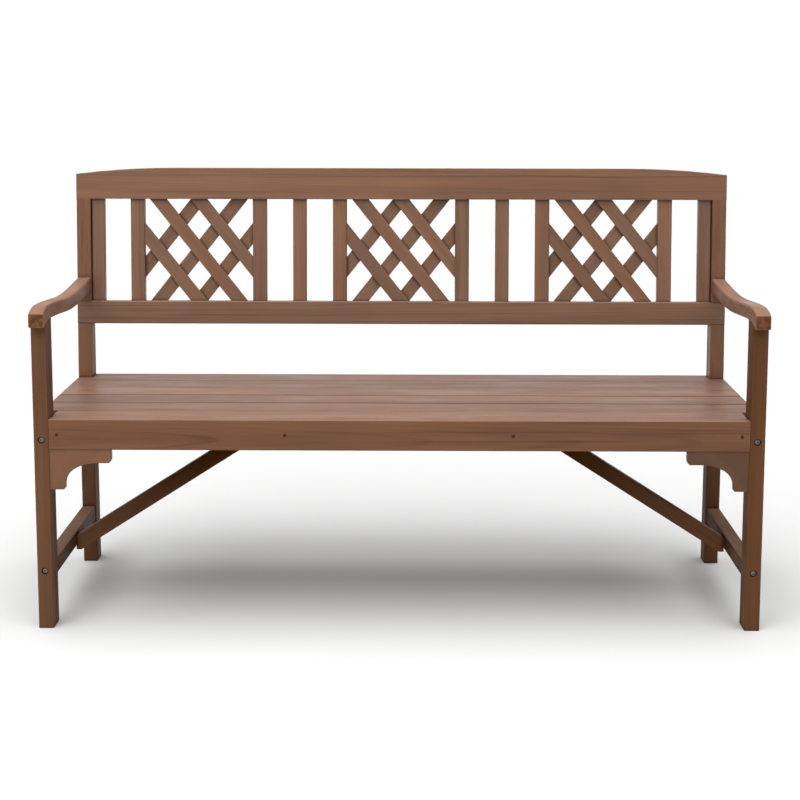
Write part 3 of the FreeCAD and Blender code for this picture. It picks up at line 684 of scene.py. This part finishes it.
def bracket_tree(sizes, steps=28, corner_steps=10, drill_sides=24):
    """Geometry nodes for a corner bracket: two limbs and a quarter-ellipse hollow, sawn from one board."""
    tree, size = shape_tree("corner_bracket", sizes)
    hollow_end = plus(tree, size["Lower limb"], size["Hollow length"])
    hollow_foot = plus(tree, size["Upper limb"], size["Hollow height"])

    # Corner order: top inner, top outer, nose, then the hollow's steps, then the toe and the foot at the leg
    nose, toe = 2, steps + 3
    index = geometry(tree, "InputIndex")
    along = (0.0, size["Length"], size["Length"], size["Lower limb"], 0.0)
    down = (0.0, 0.0, size["Upper limb"], size["Height"], size["Height"])
    past = less(tree, index, float(steps))
    corner = maths(tree, "MINIMUM", index, maths(tree, "MAXIMUM", past, float(nose)))
    fall = times(tree, chosen_by(tree, corner, down), -1.0)
    straight = joined(tree, chosen_by(tree, corner, along), z=fall)
    turn = times(tree, less(tree, index, nose + 1.0), math.pi / 2 / (steps - 1))
    curve_along = less(tree, hollow_end, times(tree, size["Hollow length"], maths(tree, "SINE", turn)))
    curve_down = less(tree, hollow_foot, times(tree, size["Hollow height"], maths(tree, "COSINE", turn)))
    hollow = joined(tree, curve_along, z=times(tree, curve_down, -1.0))
    past_nose = maths(tree, "GREATER_THAN", index, nose + 0.5)
    in_hollow = times(tree, past_nose, maths(tree, "LESS_THAN", index, toe - 0.5))
    place = geometry(tree, "Switch", in_hollow, straight, hollow, input_type="VECTOR")

    line = geometry(tree, "MeshLine", steps + 5, mode="OFFSET")
    line = geometry(tree, "MeshToCurve", line)
    line = geometry(tree, "SetSplineCyclic", line, None, True)
    line = geometry(tree, "SetPosition", line, None, place)
    at_nose = maths(tree, "COMPARE", index, float(nose), 0.5)
    at_toe = maths(tree, "COMPARE", index, float(toe), 0.5)
    rounding = plus(tree, times(tree, at_nose, size["Nose"]), times(tree, at_toe, size["Toe"]))
    line = geometry(tree, "FilletCurve", line, corner_steps, rounding, mode="POLY")
    flat = geometry(tree, "Transform", line, None, (-math.pi / 2, 0.0, 0.0))
    face = geometry(tree, "FillCurve", flat, mode="NGONS")
    upright = geometry(tree, "Transform", face, None, (math.pi / 2, 0.0, 0.0))
    backward = put(tree, "FunctionNodeInputVector", vector=(0.0, 1.0, 0.0)).outputs[0]
    sawn = geometry(tree, "ExtrudeMesh", upright, None, backward, size["Thickness"], mode="FACES")
    board = geometry(tree, "JoinGeometry", geometry(tree, "FlipFaces", upright))
    feed(board.node.inputs[0], sawn)
    board = geometry(tree, "MergeByDistance", board, None, SAME_POINT)

    # The screw's hole goes up through the flat between the hollow and the nose's rounding
    flat_end = less(tree, size["Length"], size["Nose"])
    hole = joined(
        tree, times(tree, plus(tree, hollow_end, flat_end), 0.5), times(tree, size["Thickness"], 0.5),
        times(tree, size["Upper limb"], -1.0))
    sinking = drill(tree, drill_sides, size["Screw head"], times(tree, size["Screw sinking"], 2.0))
    shank = drill(tree, drill_sides, size["Screw hole"], size["Height"])
    drills = [geometry(tree, "Transform", tool, hole) for tool in (sinking, shank)]
    end_tree(tree, cut(tree, board, *drills), size["Material"])
    return tree


def add_object(scene, data):
    """Adds an object for that data to the scene, under the same name."""
    thing = bpy.data.objects.new(data.name, data)
    scene.collection.objects.link(thing)
    return thing


def plain_mesh(context, tree, base, wanted, name):
    """The mesh that a geometry-nodes tree makes of a base mesh, with the inputs set by their titles."""
    seed = add_object(context.scene, base)
    modifier = seed.modifiers.new("make", "NODES")
    modifier.node_group = tree
    for socket in tree.interface.items_tree:
        if socket.in_out == "INPUT" and socket.name in wanted:
            modifier[socket.identifier] = wanted[socket.name]
    mesh = bpy.data.meshes.new_from_object(seed.evaluated_get(context.evaluated_depsgraph_get()))
    mesh.name = name
    bpy.data.objects.remove(seed)
    if not mesh.polygons:
        raise RuntimeError("nothing was made for " + name)
    mesh.materials.clear()
    mesh.materials.append(wanted["Material"])
    return mesh


def new_piece(context, mesh):
    """An object for a finished mesh, smooth but for its sharp edges."""
    mesh.shade_smooth()
    mesh.set_sharp_from_angle(angle=SHARP_EDGE)
    return add_object(context.scene, mesh)


def lies_at(edge, axis, value):
    """Whether both ends of an edge have that coordinate."""
    return all(abs(vert.co[axis] - value) < SAME_LENGTH for vert in edge.verts)


def cut_bracket(context, node, hand, coat):
    """One corner bracket in the place of its CAD node, running to the middle of the bench from its leg."""
    shape = context.scene.bench_bracket
    low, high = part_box(node)
    sizes = {
        "Length": high.x - low.x, "Height": high.z - low.z, "Thickness": high.y - low.y,
        "Upper limb": shape.limb_depth, "Lower limb": shape.limb_width, "Hollow length": shape.hollow_length,
        "Hollow height": shape.hollow_height, "Nose": shape.nose, "Toe": shape.toe,
        "Screw head": shape.screw_head, "Screw sinking": shape.screw_sink, "Screw hole": shape.screw_hole,
    }
    tree = bpy.data.node_groups.get("corner_bracket") or bracket_tree(sizes)
    slant = math.sqrt(0.5)
    lie = Matrix(((hand * slant, 0, slant), (-hand * slant, 0, slant), (0, -hand, 0)))
    timber = timber_material(context.scene.bench_timber, node, lie, coat)
    base = bpy.data.meshes.new(node + "_seed")
    mesh = plain_mesh(context, tree, base, dict(sizes, Material=timber), node + "_shaped")

    # Put it in its place, and ease the front edges that touch neither the apron nor the leg
    board = bmesh.new()
    board.from_mesh(mesh)
    corner = Vector((low.x if hand > 0 else high.x, low.y, high.z))
    for vert in board.verts:
        vert.co = corner + Vector((hand * vert.co.x, vert.co.y, vert.co.z))
    bmesh.ops.remove_doubles(board, verts=board.verts, dist=SAME_POINT)
    bmesh.ops.recalc_face_normals(board, faces=board.faces)
    sawn = [
        edge for edge in board.edges
        if lies_at(edge, 1, low.y) and not lies_at(edge, 2, high.z) and not lies_at(edge, 0, corner.x)]
    bmesh.ops.bevel(board, geom=sawn, offset=shape.ease, segments=3, profile=0.5, affect="EDGES")
    board.to_mesh(mesh)
    board.free()
    piece = new_piece(context, mesh)
    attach(piece, "root")
    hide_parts(node)


def bolt_shape(tree, size):
    """A socket-head bolt, its head's face at the origin and its shank down -Z."""
    head = times(tree, size["Head"], 0.5)
    shank = times(tree, size["Shank"], 0.5)
    under = times(tree, size["Head height"], -1.0)
    tip = times(tree, size["Length"], -1.0)
    ease, socket_share = 0.0010, 0.6
    body = turned(
        tree, 32, (0.0, 0.0), (less(tree, head, ease), 0.0), (less(tree, head, ease * 0.3), -ease * 0.3),
        (head, -ease), (head, under), (shank, under), (shank, plus(tree, tip, ease)),
        (less(tree, shank, ease), tip), (0.0, tip))
    return cut(tree, body, drill(tree, 6, size["Socket"], times(tree, under, -2 * socket_share)))


def screw_shape(tree, size):
    """A countersunk screw, its head's face at the origin and its point down -Z."""
    head = times(tree, size["Head"], 0.5)
    shank = times(tree, size["Shank"], 0.5)
    tip = times(tree, size["Length"], -1.0)
    ease, point = 0.0004, 0.006
    neck = plus(tree, less(tree, shank, head), -ease)
    body = turned(
        tree, 24, (0.0, -ease * 0.4), (less(tree, head, ease), -ease * 0.4), (head, -ease), (shank, neck),
        (shank, plus(tree, tip, point)), (0.0, tip))
    wide, thin, deep = (times(tree, size["Head"], share) for share in (0.58, 0.13, 0.42))
    return cut(tree, body, block(tree, wide, thin, deep), block(tree, thin, wide, deep))


def nut_shape(tree, size):
    """A barrel nut, its slotted end at the origin and its body down -Z, bored across along X."""
    wall = times(tree, size["Head"], 0.5)
    foot = times(tree, size["Length"], -1.0)
    ease, slot_width, slot_depth = 0.0006, 0.0014, 0.0015
    body = turned(
        tree, 24, (0.0, 0.0), (less(tree, wall, ease), 0.0), (wall, -ease), (wall, plus(tree, foot, ease)),
        (less(tree, wall, ease), foot), (0.0, foot))
    through = times(tree, size["Head"], 1.5)
    middle = joined(tree, z=times(tree, size["Length"], -0.5))
    bore = drill(tree, 20, size["Shank"], through)
    bore = geometry(tree, "Transform", bore, middle, (0.0, math.pi / 2, 0.0))
    return cut(tree, body, bore, block(tree, slot_width, through, 2 * slot_depth))


def fixing_tree(name, shape, sizes):
    """Geometry nodes that set one fixing at every point, along the point's aim."""
    tree, given = shape_tree(name, sizes)
    one = shape(tree, given)
    turn = put(tree, "FunctionNodeAxesToRotation", primary_axis="Z", secondary_axis="X")
    for socket, title in zip(turn.inputs, ("aim", "side")):
        feed(socket, geometry(tree, "InputNamedAttribute", title, data_type="FLOAT_VECTOR"))
    points = given["Geometry"]
    placed = geometry(tree, "InstanceOnPoints", points, None, one, None, None, turn.outputs[0])
    end_tree(tree, placed, given["Material"])
    return tree


def set_fixings(context, node, shape, material, sizes):
    """Replaces a CAD group of fixings by detailed ones in the same places."""
    places = fixing_places(node)
    chance = random.Random(node)
    sizes["Length"] = places[0][2]
    points = bpy.data.meshes.new(node + "_places")
    points.from_pydata([tuple(place) for place, _, _ in places], [], [])
    aims = points.attributes.new("aim", "FLOAT_VECTOR", "POINT")
    sides = points.attributes.new("side", "FLOAT_VECTOR", "POINT")
    for index, (_, aim, _) in enumerate(places):
        # A nut's bore runs with its bolt, from front to rear; heads stop at any turn
        side = Vector((0, 1, 0))
        if shape is not nut_shape:
            side = aim.orthogonal()
            side.rotate(Matrix.Rotation(chance.uniform(0, 2 * math.pi), 3, aim))
        aims.data[index].vector = aim
        sides.data[index].vector = side.normalized()
    tree = fixing_tree("set_" + node, shape, sizes)
    mesh = plain_mesh(context, tree, points, dict(sizes, Material=material), node + "_dressed")
    for title in ("aim", "side"):
        mesh.attributes.remove(mesh.attributes[title])
    piece = new_piece(context, mesh)
    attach(piece, "root")
    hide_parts(node)


class BENCH_OT_side_frames(bpy.types.Operator):
    """Stain the legs, arms, side rails and stretchers"""

    bl_idname = "bench.side_frames"
    bl_label = "Side frames"

    def execute(self, context):
        look = context.scene.bench_timber
        stain(look, look.legs, "front_leg_", "side_rail_")
        stain(look, look.stretchers, "stretcher_")
        stain(look, look.posts, "rear_leg_")
        stain(look, look.arms, "arm_")
        return {"FINISHED"}


class BENCH_OT_seat(bpy.types.Operator):
    """Stain the slats, the apron and the timbers under the slats"""

    bl_idname = "bench.seat"
    bl_label = "Seat"

    def execute(self, context):
        look = context.scene.bench_timber
        for number, gap in enumerate(look.slat_gaps, 1):
            coat = look.front_slat if number == 1 else look.slats
            stain(look, coat, "seat_slat_%d" % number, gap=gap, gloss=look.seat_gloss)
        stain(look, look.apron, "front_apron")
        stain(look, look.bearers, "rear_rail", "inner_bearer_", "end_bearer_")
        return {"FINISHED"}


class BENCH_OT_brackets(bpy.types.Operator):
    """Shape the two corner brackets under the apron"""

    bl_idname = "bench.brackets"
    bl_label = "Corner brackets"

    def execute(self, context):
        look = context.scene.bench_timber
        cut_bracket(context, "corner_bracket_left", 1, look.left_bracket)
        cut_bracket(context, "corner_bracket_right", -1, look.right_bracket)
        return {"FINISHED"}


class BENCH_OT_braces(bpy.types.Operator):
    """Stain the diagonal braces"""

    bl_idname = "bench.braces"
    bl_label = "Braces"

    def execute(self, context):
        look = context.scene.bench_timber
        stain(look, look.braces, "brace_")
        return {"FINISHED"}


class BENCH_OT_back(bpy.types.Operator):
    """Stain the rails, stiles and slats of the back"""

    bl_idname = "bench.back"
    bl_label = "Back"

    def execute(self, context):
        look = context.scene.bench_timber
        stain(look, look.back, "top_rail", "lower_back_rail", "end_stile_", "back_slat_", "lattice_stile_")
        return {"FINISHED"}


class BENCH_OT_trellis(bpy.types.Operator):
    """Stain the crossing strips of the three panels"""

    bl_idname = "bench.trellis"
    bl_label = "Trellis"

    def execute(self, context):
        look = context.scene.bench_timber
        stain(look, look.trellis, "lattice_strip_")
        return {"FINISHED"}


class BENCH_OT_bolts(bpy.types.Operator):
    """Set the socket-head bolts and their barrel nuts"""

    bl_idname = "bench.bolts"
    bl_label = "Bolts and barrel nuts"

    def execute(self, context):
        look = context.scene.bench_fixing
        zinc = metal_material("zinc_plating", look.zinc_colour, metallic=1.0, roughness=0.30)
        set_fixings(context, "frame_bolts", bolt_shape, zinc, {
            "Head": look.bolt_head, "Head height": look.bolt_head_height, "Shank": look.bolt_shank,
            "Socket": look.socket_width})
        set_fixings(context, "barrel_nuts", nut_shape, zinc, {"Head": look.nut_width, "Shank": look.nut_bore})
        return {"FINISHED"}


class BENCH_OT_screws(bpy.types.Operator):
    """Set the countersunk screws of the frame and the slats"""

    bl_idname = "bench.screws"
    bl_label = "Screws"

    def execute(self, context):
        look = context.scene.bench_fixing
        brown = look.coating_colour
        coating = metal_material("brown_coating", brown, metallic=0.0, roughness=0.55, shine=0.05)
        for node in ("long_screws", "short_screws"):
            sizes = {"Head": look.screw_head, "Shank": look.screw_shank}
            set_fixings(context, node, screw_shape, coating, sizes)
        return {"FINISHED"}


class BENCH_OT_stage(bpy.types.Operator):
    """Set up the floor, the lights and the camera"""

    bl_idname = "bench.stage"
    bl_label = "Stage"

    def execute(self, context):
        look = context.scene.bench_stage
        scene = context.scene
        scene.view_settings.view_transform = "Standard"
        world = bpy.data.worlds.new("white_dome")
        world.use_nodes = True
        tree = world.node_tree
        rise = parted(tree, put(tree, "ShaderNodeTexCoord").outputs["Generated"])[2]
        band_end, dome_start, rim_start, rim_end = 0.06, 0.40, 0.02, 0.07  # heights, as sines
        glow = spread(tree, rise, band_end, dome_start, look.horizon_strength, look.dome_strength)
        rim = spread(tree, maths(tree, "ABSOLUTE", rise), rim_start, rim_end, look.rim_strength, 0.0)
        sky = tree.nodes["Background"]
        feed_named(sky, {"Color": opaque(WHITE), "Strength": plus(tree, glow, rim)})
        lay_out(tree)
        scene.world = world

        floor_mesh = bpy.data.meshes.new("studio_floor")
        reach = look.floor_reach
        corners = [(-reach, -reach, 0), (reach, -reach, 0), (reach, reach, 0), (-reach, reach, 0)]
        floor_mesh.from_pydata(corners, [], [(0, 1, 2, 3)])
        floor = add_object(scene, floor_mesh)
        paper, tree, shader = new_material("studio_floor")
        colour = opaque(look.floor_colour)
        feed_named(shader, {"Base Color": colour, "Roughness": 0.9, "Specular IOR Level": 0.1})
        lay_out(tree)
        floor_mesh.materials.append(paper)

        sun = bpy.data.lights.new("overhead_light", "SUN")
        sun.energy = look.sun_strength
        sun.angle = look.sun_spread
        add_object(scene, sun).rotation_euler = (math.pi / 2 - look.sun_height, 0, look.sun_turn)
        panel = bpy.data.lights.new("front_light", "AREA")
        panel.energy = look.front_power
        panel.size = look.front_size
        front = add_object(scene, panel)
        front.location = look.front_place
        aim = Vector(look.front_target) - front.location
        front.rotation_euler = aim.to_track_quat("-Z", "Y").to_euler()

        lens = bpy.data.cameras.new("photo_camera")
        lens.sensor_width = 36.0
        lens.lens = look.focal_length
        lens.shift_y = look.lens_shift
        camera = add_object(scene, lens)
        camera.rotation_mode = "QUATERNION"
        level = Matrix.Rotation(math.pi / 2 - look.camera_pitch, 3, "X")
        aim = Matrix.Rotation(-look.camera_yaw, 3, "Z") @ level @ Matrix.Rotation(look.camera_roll, 3, "Z")
        camera.matrix_world = Matrix.LocRotScale(Vector(look.camera_place), aim.to_quaternion(), None)
        scene.camera = camera
        return {"FINISHED"}


class BENCH_PT_sidebar(bpy.types.Panel):
    """The steps that dress the bench, in order"""

    bl_idname = "BENCH_PT_sidebar"
    bl_label = "Garden bench"
    bl_space_type = "VIEW_3D"
    bl_region_type = "UI"
    bl_category = "Bench"

    def draw(self, context):
        for operator in STEPS:
            self.layout.operator(operator.bl_idname)


LOOKS = {
    "bench_timber": TimberLook,
    "bench_bracket": BracketShape,
    "bench_fixing": FixingLook,
    "bench_stage": StageLook,
}
STEPS = (
    BENCH_OT_side_frames,
    BENCH_OT_seat,
    BENCH_OT_brackets,
    BENCH_OT_braces,
    BENCH_OT_back,
    BENCH_OT_trellis,
    BENCH_OT_bolts,
    BENCH_OT_screws,
    BENCH_OT_stage,
)


def register():
    """Adds the classes and the settings they read."""
    for kind in (*LOOKS.values(), *STEPS, BENCH_PT_sidebar):
        bpy.utils.register_class(kind)
    for name, kind in LOOKS.items():
        setattr(bpy.types.Scene, name, bpy.props.PointerProperty(type=kind))


def unregister():
    """Takes the settings and classes away again."""
    for name in LOOKS:
        delattr(bpy.types.Scene, name)
    for kind in (BENCH_PT_sidebar, *reversed(STEPS), *LOOKS.values()):
        bpy.utils.unregister_class(kind)


def main():
    """Dresses the bench step by step."""
    register()
    bpy.ops.bench.side_frames()
    bpy.ops.bench.seat()
    bpy.ops.bench.brackets()
    bpy.ops.bench.braces()
    bpy.ops.bench.back()
    bpy.ops.bench.trellis()
    bpy.ops.bench.bolts()
    bpy.ops.bench.screws()
    bpy.ops.bench.stage()


if __name__ == "__main__":
    main()
